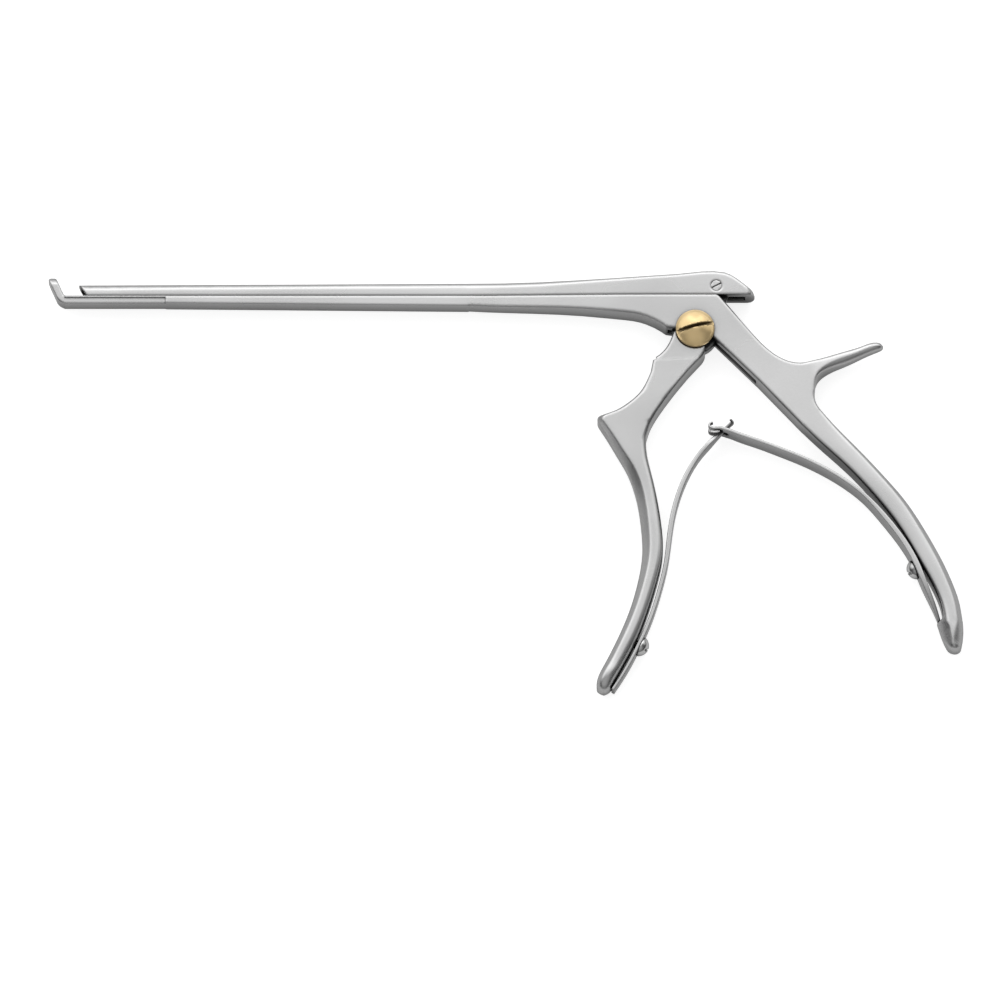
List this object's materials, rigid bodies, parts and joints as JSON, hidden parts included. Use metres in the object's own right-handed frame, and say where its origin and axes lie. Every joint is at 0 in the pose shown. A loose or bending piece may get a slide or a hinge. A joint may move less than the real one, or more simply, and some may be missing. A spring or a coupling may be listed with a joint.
{
  "type": "bone rongeur",
  "caption": "Sliding-punch bone rongeur: squeezing the sprung handles drives a cupped slider along T rails towards a leaning footplate.",
  "frame": {"origin": "where the axis of the pivot screw meets the plane that the instrument lies on", "axes": "+X from the jaw towards the handles along the shaft, +Y from the handles towards the slider, +Z along the pivot axis away from the table"},
  "size_m": [0.2662, 0.1274, 0.0127],
  "materials": {
    "satin_steel": "satin stainless steel, finely brushed",
    "spring_steel": "brushed spring steel",
    "screw_steel": "polished steel screw heads",
    "brass": "satin gold-coloured brass"
  },
  "bodies": {
    "frame": {"fixed_frame": "satin_steel", "pivot_screw": "brass", "pivot_nut": "brass", "rear_spring": "spring_steel", "rear_spring_screw": "screw_steel"},
    "squeeze_handle": {"front_handle": "satin_steel", "front_spring": "spring_steel", "front_spring_screw": "screw_steel"},
    "punch": {"slider": "satin_steel", "drive_screw": "screw_steel"}
  },
  "joints": [
    {"name": "squeeze", "type": "hinge", "parent": "frame", "child": "squeeze_handle", "pos_m": [0, 0, 0], "axis": [0, 0, 1], "range_deg": [0, 23.2], "stiffness_Nm_per_rad": 1.25, "springref_deg": -11.46, "deforming": ["front_spring", "rear_spring"]},
    {"name": "slide", "type": "slide", "parent": "frame", "child": "punch", "axis": [-1, 0, 0], "range_m": [0, 0.00576]}
  ],
  "couplings": [
    {"joint": "slide", "follows": "squeeze", "m_per_rad": 0.014194}
  ]
}
